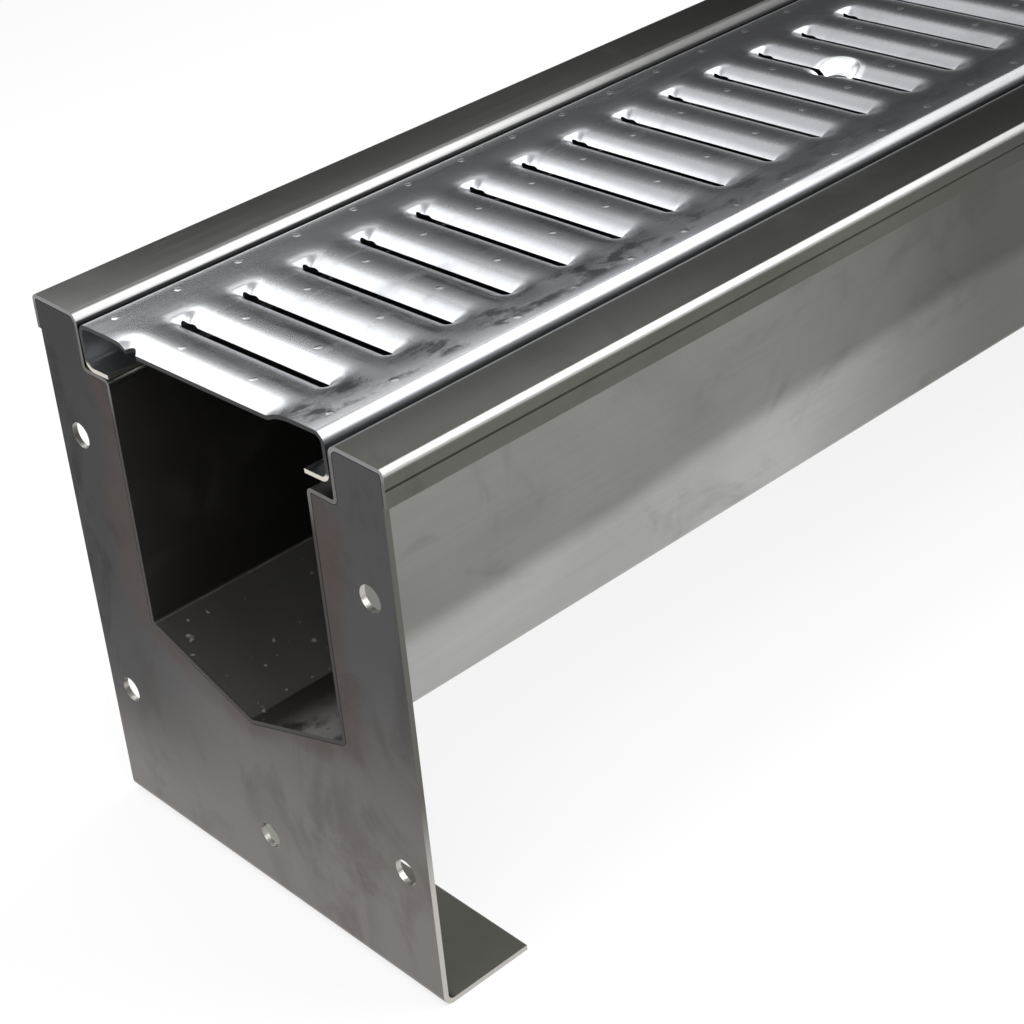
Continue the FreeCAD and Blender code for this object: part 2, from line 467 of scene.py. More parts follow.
@dataclass(frozen=True)
class ChannelFinish(SteelFinish):
    """Channel sheet: dark skirts, a painted reflection as a lighter band along the foot of each wall, painted
    highlights and shade on the flanges and their bends, and painted shade inside, which is dull and
    spattered.
    """

    skirt_low: float = 192.0 * MM
    skirt_high: float = 203.6 * MM
    skirt_in: float = 86.0 * MM
    skirt_tint: Color = (0.5, 0.5, 0.47)
    # Painted shade along the pressed die line's groove on the skirts
    die_line_level: float = 198.4 * MM
    die_line_shade_tint: Color = (0.3, 0.3, 0.28)
    band_near: float = 111.0 * MM
    band_rise: float = 0.045
    band_soft: float = 5.0 * MM
    band_drift: float = 10.0 * MM
    # Painted reflection: colour of the lighter band along the foot of each wall
    foot_reflection_tint: Color = (1.76, 1.76, 1.83)
    # Painted shade: darkens the sheet in the middle of its length, where reflections are darker
    middle_shade_tint: Color = (0.28, 0.28, 0.265)
    middle_shade_share: float = 0.9
    # Painted shade: the left and right flanges are darkened
    left_shade_tint: Color = (0.68, 0.68, 0.68)
    right_shade_tint: Color = (0.56, 0.56, 0.55)
    # Painted highlight: lighter colour of the bends
    bend: Color = (0.45, 0.45, 0.44)
    # Painted shade on the left bend's upper part
    shoulder_shade: Color = (0.13, 0.13, 0.127)
    # Painted shade that dims the bends far back, the left flange's steep parts and the seat bend
    dim_bend: Color = (0.04, 0.04, 0.04)
    # Painted shade: dark colour of the trough
    trough_shade: Color = (0.13, 0.126, 0.118)
    # Painted light: patch on the trough's floor at the front
    trough_light_patch: Color = (0.92, 0.88, 0.84)
    spatter: Color = (0.6, 0.6, 0.6)
    flange_edge: Color = (0.24, 0.23, 0.24)
    # Painted shade: cut edges round the trough
    trough_edge_shade: Color = (0.032, 0.028, 0.026)

    def mark(self, graph: Graph) -> Value:
        """Marks the walls, the flanges with their bends, and the inside of the trough.

        Args:
            graph: graph of the finish.

        Returns:
            A mask of where the sheet is duller.
        """
        _, _, height = graph.axes()
        self.mark_walls(graph)
        rounded = self.mark_flanges(graph)
        inside = graph.both(graph.mask(INSIDE_MASK), graph.ramp(height, 186.0 * MM, 180.0 * MM))
        # Painted shade inside the trough, with a patch of painted light at the front
        graph.paint(self.trough_tone(graph), inside)
        return graph.sum(Sum.MAXIMUM, graph.both(inside, 1.6), graph.both(rounded, 1.5))

    def mark_walls(self, graph: Graph) -> None:
        """Lays on dark skirts, painted shade along the die line, a painted reflection as a lighter foot that
        rises and wanders, and painted shade in the middle of the length.

        Args:
            graph: graph of the finish.
        """
        across, along, height = graph.axes()
        aside = graph.size(across)
        skirt = graph.both(
            graph.ramp(height, self.skirt_low, self.skirt_low + 0.4 * MM),
            graph.ramp(height, self.skirt_high, self.skirt_high - 1.5 * MM),
            graph.ramp(aside, self.skirt_in, self.skirt_in + 0.4 * MM),
        )
        graph.tint(self.skirt_tint, skirt)
        off_line = graph.size(graph.less(height, self.die_line_level))
        # Painted shade: a dark line along the die line's groove
        graph.tint(self.die_line_shade_tint, graph.both(skirt, graph.ramp(off_line, 0.6 * MM, 0.3 * MM)))
        drift = graph.noise(graph.spread((3.0, 7.0, 3.0)), detail=2.0)
        level = graph.less(height, graph.both(graph.less(drift, 0.5), self.band_drift))
        level = graph.less(level, graph.both(graph.sum(Sum.MINIMUM, along, -0.2), self.band_rise))
        top = self.band_near + 0.5 * self.band_rise
        foot = graph.ramp(level, top + self.band_soft, top - self.band_soft)
        # Painted reflection: the walls' foot is made lighter, in a band that rises and wanders
        graph.tint(self.foot_reflection_tint, graph.both(foot, graph.ramp(aside, 40.0 * MM, 50.0 * MM)))
        # Painted shade over the middle of the length
        graph.tint(self.middle_shade_tint, graph.both(graph.band(along, -0.31, -0.16, 0.04, 0.36), self.middle_shade_share))

    def mark_flanges(self, graph: Graph) -> Socket:
        """Lays on the tones of the flanges, with painted shade on them, and of their bends, lighter as
        painted highlights that shine near the front and fade behind it under painted shade.

        Args:
            graph: graph of the finish.

        Returns:
            A mask of the bends.
        """
        across, along, height = graph.axes()
        _, _, upward = graph.facing()
        crown = graph.ramp(height, 196.0 * MM, 200.0 * MM)
        rounded = graph.both(crown, graph.band(upward, 0.08, 0.3, 0.94, 0.99))
        left = graph.both(crown, graph.ramp(across, 0.0, -60.0 * MM))
        # Painted shade on the left flange
        graph.tint(self.left_shade_tint, left)
        # Painted highlight on the bends
        graph.paint(self.bend, rounded)
        graph.paint(self.shoulder_shade, graph.both(left, rounded, graph.ramp(upward, 0.8, 0.92)))
        skirt_bend = graph.both(rounded, graph.ramp(across, 76.0 * MM, 80.0 * MM))
        seat_bend = graph.both(rounded, graph.band(across, 0.0, 40.0 * MM, 72.0 * MM, 76.0 * MM))
        # Painted shade that dims the bends' painted highlights
        dimmed = (
            graph.both(left, rounded, graph.ramp(along, -0.42, -0.2, 0.0, 0.88)),
            graph.both(skirt_bend, graph.ramp(along, -0.4, -0.15, 0.0, 0.5)),
            graph.both(left, graph.ramp(upward, 0.4, 0.25)),
            graph.both(seat_bend, 0.7),
        )
        for mask in dimmed:
            graph.paint(self.dim_bend, mask)
        level = graph.both(crown, graph.ramp(upward, 0.97, 0.995))
        # Painted shade on the right flange's level top
        graph.tint(self.right_shade_tint, graph.both(level, graph.ramp(across, 0.0, 60.0 * MM)))
        return rounded

    def trough_tone(self, graph: Graph) -> Socket:
        """Colour of the trough: dull and dark as painted shade, with a patch of painted light at the front
        and weld spatter near the ends.

        Args:
            graph: graph of the finish.

        Returns:
            The colour.
        """
        across, along, height = graph.axes()
        low = graph.ramp(height, 94.0 * MM, 90.0 * MM)
        corner = graph.both(low, graph.ramp(along, -0.45, -0.49), graph.ramp(across, 8.0 * MM, 36.0 * MM))
        # Ragged border of the painted light patch
        painted_light = graph.noise(graph.spread((70.0, 70.0, 70.0)), detail=4.0, rough=0.6)
        tone = graph.over(self.trough_shade, self.trough_light_patch, graph.both(corner, graph.ramp(painted_light, 0.36, 0.56)))
        spots = graph.ramp(graph.noise(graph.spread((260.0, 260.0, 260.0)), detail=1.0), 0.71, 0.77)
        near_end = graph.ramp(graph.size(along), 0.4, 0.49)
        return graph.over(tone, self.spatter, graph.both(spots, near_end, low, 0.8))

    def edge_tone(self, graph: Graph) -> Tint:
        """Colour of the cut edges, with painted light and shade by height: dark round the trough, lighter at
        the seat and lightest on the flanges.

        Args:
            graph: graph of the finish.

        Returns:
            The colour.
        """
        _, _, height = graph.axes()
        upper = graph.over(self.edge, self.flange_edge, graph.ramp(height, 200.0 * MM, 203.0 * MM))
        return graph.over(self.trough_edge_shade, upper, graph.ramp(height, 168.0 * MM, 182.0 * MM))


@dataclass(frozen=True)
class PlateFinish(SteelFinish):
    """End plate: warmer low down and lighter there as a painted reflection, with painted shade on its left
    and painted light on its foot, browned by weld heat beside the channel's opening.
    """

    # Warm tone low down, lighter than the plate as a painted reflection
    warm_reflection: Color = (0.193, 0.176, 0.167)
    mottled: Color = (0.6, 0.54, 0.48)
    # Painted shade on the plate's left side
    left_shade_tint: Color = (0.36, 0.365, 0.375)
    # Painted light: lighter colour of the foot's upward face
    foot: Color = (0.36, 0.365, 0.325)
    burnt: Color = (0.02, 0.017, 0.015)
    dull_edge: Color = (0.12, 0.115, 0.1)
    heat: Color = (0.075, 0.05, 0.04)
    heat_reach: float = 13.0 * MM
    heat_wander: float = 34.0 * MM
    opening: float = 52.0 * MM
    floor_rise: float = 0.328
    floor_low: float = 72.5 * MM
    foot_tip: float = 463.6 * MM

    def mark(self, graph: Graph) -> Value:
        """Lays on a warm, mottled tone towards the foot that is lighter as a painted reflection, painted
        shade on the left, painted light on the foot, a burnt corner and a brown band round the opening.

        Args:
            graph: graph of the finish.

        Returns:
            A mask of where the sheet is duller.
        """
        across, along, height = graph.axes()
        _, _, upward = graph.facing()
        lean = graph.less(height, graph.both(across, 0.2))
        # Warm tone that is also a painted reflection, lighter towards the foot
        graph.paint(self.warm_reflection, graph.ramp(lean, 130.0 * MM, 5.0 * MM, 0.0, 0.92))
        mottle = graph.noise(graph.spread((26.0, 26.0, 15.0)), detail=5.0, rough=0.65, twist=1.0)
        graph.tint(self.mottled, graph.ramp(mottle, 0.47, 0.66, 0.0, 0.6))
        left = graph.ramp(across, 0.0, -76.0 * MM)
        # Painted shade on the left side
        graph.tint(self.left_shade_tint, graph.both(left, graph.ramp(height, 15.0 * MM, 60.0 * MM)))
        foot = graph.both(graph.ramp(upward, 0.6, 0.9), graph.ramp(height, 8.0 * MM, 4.0 * MM))
        # Painted light on the foot's upward face
        graph.paint(self.foot, foot)
        corner = graph.both(
            graph.ramp(across, 77.0 * MM, 83.0 * MM),
            graph.ramp(height, 4.5 * MM, 2.0 * MM),
            graph.ramp(along, -494.0 * MM, -498.0 * MM),
        )
        graph.paint(self.burnt, corner)
        heated = self.heated(graph)
        graph.paint(self.heat, heated)
        return heated

    def heated(self, graph: Graph) -> Socket:
        """Mask of the weld heat: it fades away from the opening's sides and floor, with a ragged border.

        Args:
            graph: graph of the finish.

        Returns:
            The mask.
        """
        across, _, height = graph.axes()
        aside = graph.size(across)
        floor = graph.sum(Sum.ADD, graph.both(aside, self.floor_rise), self.floor_low)
        away = graph.sum(Sum.MAXIMUM, graph.less(aside, self.opening), graph.less(floor, height))
        wander = graph.noise(graph.spread((24.0, 24.0, 24.0)), detail=4.0, twist=0.8)
        ragged = graph.sum(Sum.ADD, away, graph.both(graph.less(wander, 0.5), self.heat_wander))
        return graph.ramp(ragged, self.heat_reach, 0.0, 0.0, 0.6)

    def edge_tone(self, graph: Graph) -> Tint:
        """Colour of the cut edges: bright low down, dull beside the channel.

        Args:
            graph: graph of the finish.

        Returns:
            The colour.
        """
        across, _, height = graph.axes()
        outer = graph.ramp(graph.size(across), 84.6 * MM, 85.2 * MM)
        beside = graph.both(outer, graph.ramp(height, 45.0 * MM, 90.0 * MM))
        return graph.over(self.edge, self.dull_edge, beside)

    def bare(self, graph: Graph) -> Socket:
        """1 on the plate's cut sides, the walls of its holes and the tip of its foot.

        Args:
            graph: graph of the finish.

        Returns:
            The mask.
        """
        aside, endwards, _ = graph.facing()
        _, along, height = graph.axes()
        tip = graph.ramp(graph.size(along), self.foot_tip, self.foot_tip - 0.4 * MM)
        sides = graph.sum(Sum.MAXIMUM, graph.ramp(graph.size(aside), 0.6, 0.9), tip)
        across_plate = graph.ramp(graph.size(endwards), 0.6, 0.4)
        walls = graph.both(across_plate, graph.ramp(height, 5.0 * MM, 6.0 * MM))
        return graph.sum(Sum.MAXIMUM, sides, walls)


@dataclass(frozen=True)
class GrateFinish(SteelFinish):
    """Grate sheet: dark smears along the bars beside the slots, blotches on the right-hand margin, and
    painted highlights and shade on its lock dishes, folds, flats and cut edges.
    """

    pitch: float = 25.0 * MM
    first_slot: float = -502.0 * MM
    lock_reach: float = 200.0 * MM
    lock_middle: float = -2.0 * MM
    lock_rim: float = 10.5 * MM
    lean: float = 0.043
    grime: Color = (0.075, 0.08, 0.09)
    # Painted highlight: bright colour of the lock dishes
    painted_light: Color = (0.86, 0.87, 0.88)
    # Painted shade on the folds towards the back
    fold_shade_tint: Color = (0.55, 0.55, 0.54)
    shade: Color = (0.04, 0.04, 0.042)
    # Painted shade on the far flats, and painted light on the near flats below
    far_shade_tint: Color = (0.58, 0.58, 0.57)
    near_light_tint: Color = (1.3, 1.3, 1.28)
    # Painted highlight on the return flanges' cut edges
    low_edge_highlight: Color = (0.66, 0.63, 0.56)

    def mark(self, graph: Graph) -> Value:
        """Lays on grime, lock dishes lit by a painted highlight, painted shade on the legs, and painted shade
        and light that change along the folds and flats.

        Args:
            graph: graph of the finish.

        Returns:
            A mask of where the sheet is duller.
        """
        across, along, _ = graph.axes()
        aside, _, upward = graph.facing()
        grimy = self.grimy(graph)
        graph.paint(self.grime, grimy)
        off = graph.size(graph.less(along, self.lock_middle))
        spread = graph.apart(across, off, (0.0, self.lock_reach))
        # Painted highlight over the lock dishes
        graph.paint(self.painted_light, graph.ramp(spread, (1.15 * self.lock_rim) ** 2, self.lock_rim**2))
        folds = graph.both(graph.ramp(across, 56.0 * MM, 57.5 * MM), graph.ramp(upward, 0.995, 0.96))
        # Painted shade that fades the folds' highlight towards the back
        graph.tint(self.fold_shade_tint, graph.both(folds, graph.ramp(along, -0.42, -0.2)))
        leg = graph.both(graph.ramp(across, 55.0 * MM, 58.0 * MM), graph.ramp(aside, 0.75, 0.95))
        graph.paint(self.shade, graph.both(leg, 0.6))
        far = graph.both(graph.ramp(upward, 0.98, 0.995), graph.ramp(along, -0.36, -0.18))
        # Painted shade on the far flats
        graph.tint(self.far_shade_tint, far)
        near = graph.both(graph.ramp(upward, 0.97, 0.99), graph.ramp(along, -0.36, -0.44))
        # Painted light on the near flats
        graph.tint(self.near_light_tint, near)
        sloped = graph.ramp(upward, 0.992, 0.955)
        return graph.sum(Sum.MAXIMUM, graph.both(grimy, 0.5), sloped)

    def grimy(self, graph: Graph) -> Socket:
        """Mask of the smears that follow the bars, and of the oily blotches on the margin.

        Args:
            graph: graph of the finish.

        Returns:
            The mask.
        """
        across, along, _ = graph.axes()
        bar = graph.sum(Sum.FRACTION, graph.both(graph.less(along, self.first_slot), 1.0 / self.pitch))
        beside = graph.band(bar, 0.5, 0.62, 0.71, 0.78)
        between = graph.band(across, -34.0 * MM, -8.0 * MM, 38.0 * MM, 46.0 * MM)
        near = graph.ramp(along, -0.22, -0.4, 0.35, 1.0)
        streaks = graph.noise(graph.spread((34.0, 120.0, 10.0)), detail=3.0, rough=0.5, twist=0.6)
        smears = graph.both(beside, between, near, graph.ramp(streaks, 0.44, 0.64))
        margin = graph.band(across, 39.0 * MM, 44.0 * MM, 53.0 * MM, 57.0 * MM)
        blots = graph.spread((110.0, 60.0, 20.0), (3.1, 0.4, 0.0))
        blots = graph.noise(blots, detail=4.0, rough=0.6, twist=0.2)
        stains = graph.both(margin, near, graph.ramp(blots, 0.47, 0.6))
        return graph.sum(Sum.MAXIMUM, graph.both(smears, 0.8), graph.both(stains, 0.95))

    def edge_tone(self, graph: Graph) -> Tint:
        """Colour of the cut edges: a painted highlight on the return flanges.

        Args:
            graph: graph of the finish.

        Returns:
            The colour.
        """
        across, _, height = graph.axes()
        level = graph.less(height, graph.both(across, self.lean))
        return graph.over(self.edge, self.low_edge_highlight, graph.ramp(level, 191.5 * MM, 190.0 * MM))


@dataclass(frozen=True)
class WeldFinish(SteelFinish):
    """Weld metal: patches of straw heat colour over dull grey."""

    straw: Color = (0.33, 0.24, 0.13)

    def mark(self, graph: Graph) -> Value:
        """Lays on patches of heat colour.

        Args:
            graph: graph of the finish.

        Returns:
            A mask of where the metal is duller.
        """
        patches = graph.ramp(graph.noise(graph.spread((160.0, 160.0, 160.0)), detail=3.0), 0.45, 0.6)
        graph.paint(self.straw, graph.both(patches, 0.7))
        return patches


CHANNEL_STEEL = ChannelFinish(
    name="channel_steel", clean=(0.232, 0.235, 0.217), smeared=(0.196, 0.198, 0.182),
    edge=(0.13, 0.125, 0.12), smooth=0.28, dull=0.36, cloud=(7.0, 7.0, 9.0), smear=(30.0, 22.0, 26.0),
)
PLATE_STEEL = PlateFinish(
    name="plate_steel", clean=(0.058, 0.058, 0.06), smeared=(0.048, 0.047, 0.046), edge=(0.5, 0.48, 0.45),
    smooth=0.34, dull=0.46, grain=(14.0, 900.0, 900.0), cloud=(9.0, 9.0, 7.0), smear=(30.0, 30.0, 18.0),
)
# The grate's cut edges are near black: painted shade, as in the slot openings
GRATE_STEEL = GrateFinish(
    name="grate_steel", clean=(0.5, 0.512, 0.535), smeared=(0.42, 0.43, 0.45), edge=(0.035, 0.035, 0.035),
    smooth=0.23, dull=0.34, smear_from=0.55, smear_to=0.8,
)
BAR_STEEL = SteelFinish(
    name="bar_steel", clean=(0.36, 0.36, 0.36), smeared=(0.26, 0.26, 0.25), edge=(0.5, 0.5, 0.5),
    smooth=0.32, dull=0.45, grain=(14.0, 900.0, 900.0),
)
WELD_STEEL = WeldFinish(
    name="weld_steel", clean=(0.34, 0.33, 0.32), smeared=(0.16, 0.13, 0.11), edge=(0.34, 0.33, 0.32),
    smooth=0.36, dull=0.5, grain=(300.0, 300.0, 300.0),
)


def piece(name: str, mesh: bpy.types.Mesh, finish: SteelFinish) -> bpy.types.Object:
    """Adds a finished mesh to the scene as a piece that rides on the part.

    Args:
        name: name of the piece.
        mesh: its mesh, in place.
        finish: its finish.

    Returns:
        The new object.
    """
    made = bpy.data.objects.new(name, mesh)
    bpy.context.scene.collection.objects.link(made)
    mesh.materials.append(finish.material())
    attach(made, ROOT)
    return made


def dressed(node: str, finish: SteelFinish) -> bpy.types.Object:
    """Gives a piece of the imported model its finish.

    Args:
        node: name of its node.
        finish: its finish.

    Returns:
        The node's object.
    """
    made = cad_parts[node]
    made.data.materials.clear()
    made.data.materials.append(finish.material())
    return made


@dataclass
class Channel:
    """Skirts, flanges, grate seat, walls and V floor, folded from one sheet."""

    skirt_height: float = 12.7 * MM
    seat_half: float = 62.75 * MM
    seat_depth: float = 19.5 * MM
    trough_half: float = 50.0 * MM
    wall_depth: float = 114.0 * MM
    floor_fall: float = 16.4 * MM
    sheet: float = 1.5 * MM
    skirt_bend: float = 1.0 * MM
    seat_bend: float = 2.5 * MM
    ledge_bend: float = 1.0 * MM
    trough_bend: float = 1.5 * MM
    die_line_drop: float = 6.6 * MM
    die_line_width: float = 0.7 * MM
    die_line_depth: float = 0.1 * MM
    bend_steps: int = 8
    crease: float = 35.0

    def __post_init__(self) -> None:
        """Takes the outer sizes from the frame."""
        low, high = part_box("channel_body")
        self.half_width: float = high.x
        self.top: float = high.z
        self.front: float = low.y
        self.rear: float = high.y

    def corners(self) -> np.ndarray:
        """Corners of the sheet's upper face, from the left skirt's lower edge to the right one's.

        Returns:
            Rows of (x, z, inside bend radius).
        """
        line = self.top - self.die_line_drop
        ledge = self.top - self.seat_depth
        wall_foot = self.top - self.wall_depth
        half = np.array([
            (-self.half_width, self.top - self.skirt_height, 0.0),
            (-self.half_width, line - self.die_line_width, 0.0),
            (-self.half_width + self.die_line_depth, line, 0.0),
            (-self.half_width, line + self.die_line_width, 0.0),
            (-self.half_width, self.top, self.skirt_bend),
            (-self.seat_half, self.top, self.seat_bend),
            (-self.seat_half, ledge, self.ledge_bend),
            (-self.trough_half, ledge, self.ledge_bend),
            (-self.trough_half, wall_foot, self.trough_bend),
        ])
        middle = np.array([(0.0, wall_foot - self.floor_fall, self.trough_bend)])
        return np.concatenate([half, middle, half[::-1] * (-1.0, 1.0, 1.0)])

    def under_line(self) -> np.ndarray:
        """Line along the sheet's lower face, as rows of (x, z)."""
        return folded_line(self.corners(), self.sheet, self.sheet, self.bend_steps)

    def build(self) -> bpy.types.Object:
        """Builds the sheet as its two faces, its two free edges and its two cut ends.

        Returns:
            The new object.
        """
        upper = folded_line(self.corners(), self.sheet, 0.0, self.bend_steps)
        under = self.under_line()
        ends = np.array([self.front, self.rear])
        skin = Skin()
        faces = np.stack([swept(upper, ends), swept(under, ends)])
        skin.add(faces[0], inside=1.0)
        skin.add(faces[1])
        skin.add(faces[:, :, [0, -1]].transpose(2, 1, 0, 3), cut_edge=1.0)
        skin.add(faces.transpose(1, 0, 2, 3), cut_edge=1.0)
        made = piece("channel_sheet", skin.mesh("channel_sheet", self.crease), CHANNEL_STEEL)
        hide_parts("channel_body")
        return made


@dataclass
class Grate:
    """Pressed and folded slotted sheet, built level from its cut end and then laid with its right side up."""

    sheet: float = 1.5 * MM
    width: float = 124.0 * MM
    height: float = 17.0 * MM
    bend: float = 2.5 * MM
    return_width: float = 12.0 * MM
    lift: float = 5.0 * MM
    ledge: float = 185.5 * MM
    pitch: float = 25.0 * MM
    cut_offset: float = 2.0 * MM
    slot_count: int = 39
    slot_half: float = 34.75 * MM
    opening: float = 1.25 * MM
    rim: float = 6.9 * MM
    depth: float = 3.3 * MM
    rim_turn: float = math.radians(11.0)
    relief_middle: float = 33.4 * MM
    relief_half: tuple[float, float] = (3.6 * MM, 1.75 * MM)
    notch_half: tuple[float, float] = (3.2 * MM, 3.8 * MM)
    tip_inset: float = 2.9 * MM
    edge_lean: float = 0.2
    lock_slots: tuple[int, int] = (12, 28)
    lock_hole: float = 5.0 * MM
    lock_rim: float = 10.5 * MM
    lock_depth: float = 5.5 * MM
    pip_columns: tuple[float, ...] = (-54.0 * MM, -18.0 * MM, 18.0 * MM, 54.0 * MM)
    pip_share: float = 0.46
    pip_radius: float = 1.5 * MM
    pip_height: float = 0.16 * MM
    pip_sides: int = 8
    pip_profile: tuple[tuple[float, float], ...] = (
        (0.0, -0.6), (1.0, -0.6), (1.0, 0.0), (0.8, 0.36), (0.45, 0.8), (0.0, 1.0),
    )
    turn_steps: tuple[int, int] = (10, 8)
    end_stations: tuple[float, ...] = tuple(
        place * MM for place in (0.9, 1.8, 2.7, 3.3, 3.8, 4.2, 4.6, 5.2, 8.0, 16.0, 26.0)
    )
    dish_steps: int = 40
    dish_span: float = 1.1
    lip_steps: int = 10
    flat_rows: tuple[float, ...] = (0.2, 0.5, 1.0)
    under_steps: int = 2
    fold_steps: int = 6
    strip_steps: int = 11
    strip_grading: float = 1.6
    rear_steps: int = 2
    crease: float = 40.0

    def __post_init__(self) -> None:
        """Works out the sizes that follow.

        The sheet's sag has the lip's slope at the rim. From there the lip is an arc, whose reach and fall
        give its chord and, by their tangent, its mean turn. Those two give its radius.
        """
        low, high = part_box("grate")
        self.front: float = low.y
        self.length: float = high.y - low.y
        self.corner: float = self.bend + self.sheet
        self.flat_half: float = self.width / 2 - self.corner
        self.tilt: float = math.asin(self.lift / (2 * self.flat_half))
        self.sag: float = (self.pitch / 2 - self.rim) * math.tan(self.rim_turn) / 2
        self.reach: float = self.rim - self.opening
        mean_turn = math.atan2(self.depth - self.sag, self.reach)
        chord = math.hypot(self.depth - self.sag, self.reach)
        self.lip_radius: float = chord / (2 * math.sin(mean_turn - self.rim_turn))

    def laid(self, grid: np.ndarray) -> np.ndarray:
        """Turns level points about Y by the tilt and sets the left fold on its ledge.

        Args:
            grid: points with the cut end at Y 0 and the return flanges on level 0.

        Returns:
            The points in the part's frame.
        """
        cosine, sine = math.cos(self.tilt), math.sin(self.tilt)
        level = self.ledge + self.corner * (1 - cosine) + self.flat_half * sine
        across, along, up = np.moveaxis(grid, -1, 0)
        placed = (
            across * cosine - up * sine + self.height / 2 * sine,
            along + self.front,
            across * sine + up * cosine + level,
        )
        return np.stack(placed, axis=-1)

    def middle(self, slot: Union[float, np.ndarray]) -> Union[float, np.ndarray]:
        """Distance of slots' middles from the cut end; slot 0 is the one cut through."""
        return slot * self.pitch - self.cut_offset

    def cell_end(self, slot: int) -> float:
        """Distance from the cut end to the line between a slot's cell and the next one's."""
        return self.middle(slot) + self.pitch / 2

    def half_width(self, across: np.ndarray, relief: tuple[float, float]) -> np.ndarray:
        """Half width of a slot's opening: straight, with a round right end and an oval hole at the left one.

        Args:
            across: X of the points.
            relief: half sizes of the oval hole, across the grate and along it.

        Returns:
            The half width at each.
        """
        half_length, half_height = relief
        past_end = np.clip(np.abs(across) - self.slot_half, 0.0, None)
        slot = np.clip(self.opening**2 - past_end**2, 0.0, None)
        hole = half_height**2 * np.clip(1.0 - ((across + self.relief_middle) / half_length) ** 2, 0.0, None)
        return np.sqrt(np.maximum(hole, slot))

    def cut_distance(self, across: np.ndarray, cosine: np.ndarray) -> np.ndarray:
        """Distance from a slot's line, or past its ends from their centres, to the edge of its opening.

        The relief hole's centre lies inside the left end's centre, so at that end the distance is the root
        of an ellipse's equation.

        Args:
            across: X of the points.
            cosine: cosine of their angle from the slot's line, past the ends.

        Returns:
            The distance at each.
        """
        half_length, half_height = self.relief_half
        inset = self.slot_half - self.relief_middle
        square = (cosine / half_length) ** 2 + (1.0 - cosine**2) / half_height**2
        slope = inset * cosine / half_length**2
        left_end = (np.sqrt(slope**2 + square * (1.0 - (inset / half_length) ** 2)) - slope) / square
        past_end = np.where(across < 0, left_end, self.opening)
        return np.where(np.abs(across) < self.slot_half, self.half_width(across, self.relief_half), past_end)

    def end_rim(self, across: np.ndarray, cosine: np.ndarray) -> np.ndarray:
        """Rim's distance from a slot's line: at the left end, less by an inset times the cosine squared."""
        return self.rim - np.where(across < 0, self.tip_inset * cosine**2, 0.0)

    def level(self, across: np.ndarray, along: np.ndarray, locked: bool = False) -> np.ndarray:
        """Height of the top face near a slot.

        Outside the rim the sheet has sagged by the square of the way left to the cell's border. Inside it
        falls along an arc, by the radius times the drop of the turn's cosine, where the turn's sine grows
        with the share of the way from the rim to the slot's edge. The relief hole is cut through that. The
        lock dish falls by half a cosine wave from its rim to its hole, and joins the slot by the fourth
        root of the sum of fourth powers.

        Args:
            across: X of the points.
            along: their distance from the slot's middle line.
            locked: whether the slot holds the lock dish in its middle.

        Returns:
            The heights.
        """
        past_end = np.clip(np.abs(across) - self.slot_half, 0.0, None)
        distance = np.hypot(past_end, along)
        cosine = past_end / np.maximum(distance, SMALL)
        rim = self.end_rim(across, cosine)
        covered = np.clip((rim - distance) / (rim - self.opening), 0.0, 1.0) * self.reach
        sine = math.sin(self.rim_turn) + covered / self.lip_radius
        drop = self.lip_radius * (math.cos(self.rim_turn) - np.sqrt(1.0 - sine**2))
        spare = np.clip((distance - rim) / (self.pitch / 2 - rim), 0.0, 1.0)
        fall = self.sag * (1 - spare) ** 2 + drop
        if locked:
            share = (self.lock_rim - np.hypot(across, along)) / (self.lock_rim - self.lock_hole)
            dish = self.lock_depth * (1 - np.cos(math.pi * np.clip(share, 0.0, 1.0))) / 2
            fall = (fall**4 + dish**4) ** 0.25
        return self.height - fall

    def loop(self, locked: bool) -> np.ndarray:
        """Stations round a slot, anticlockwise from the right-hand end's lower side, closed.

        They turn about each end's centre and stand square to the slot between them. A lock dish adds
        stations, whose border points fall on those that plain slots have.

        Args:
            locked: whether the slot holds the lock dish in its middle.

        Returns:
            Points on the cut edge, on the rim and on the cell's border, as three sets of rows of (x, y).
        """
        cell = self.pitch / 2
        beyond = self.flat_half - self.slot_half
        corner = math.atan2(cell, beyond)
        side_steps, end_steps = self.turn_steps
        turn = np.concatenate([
            np.linspace(-math.pi / 2, -corner, side_steps + 1)[:-1],
            np.linspace(-corner, corner, end_steps + 1)[:-1],
            np.linspace(corner, math.pi / 2, side_steps + 1),
        ])
        from_end = np.array(self.end_stations)
        coarse = np.concatenate([self.slot_half - from_end, from_end[::-1] - self.slot_half])
        straight = coarse
        if locked:
            dish = np.linspace(-self.dish_span, self.dish_span, self.dish_steps + 1) * self.lock_rim
            straight = np.sort(np.concatenate([coarse, dish]))[::-1]
        count = len(turn) + len(straight)
        centre = np.zeros((count, 2))
        centre[:, 0] = np.concatenate([np.full(len(turn), self.slot_half), straight])
        heading = np.zeros((count, 2))
        heading[:, 0] = np.concatenate([np.cos(turn), np.zeros(len(straight))])
        heading[:, 1] = np.concatenate([np.sin(turn), np.ones(len(straight))])
        centre = np.concatenate([centre, -centre])
        heading = np.concatenate([heading, -heading])
        cut = self.cut_distance(centre[:, 0], np.abs(heading[:, 0]))
        rim = self.end_rim(centre[:, 0], heading[:, 0])
        if locked:
            for edge, radius in ((cut, self.lock_hole), (rim, self.lock_rim)):
                beside = np.where(heading[:, 0] == 0, centre[:, 0], radius)
                edge[:] = np.maximum(edge, np.sqrt(np.clip(radius**2 - beside**2, 0.0, None)))
        endwards = beyond / np.maximum(np.cos(turn), SMALL)
        sideways = cell / np.maximum(np.abs(np.sin(turn)), SMALL)
        reach = np.concatenate([np.minimum(endwards, sideways), np.full(len(straight), cell)])
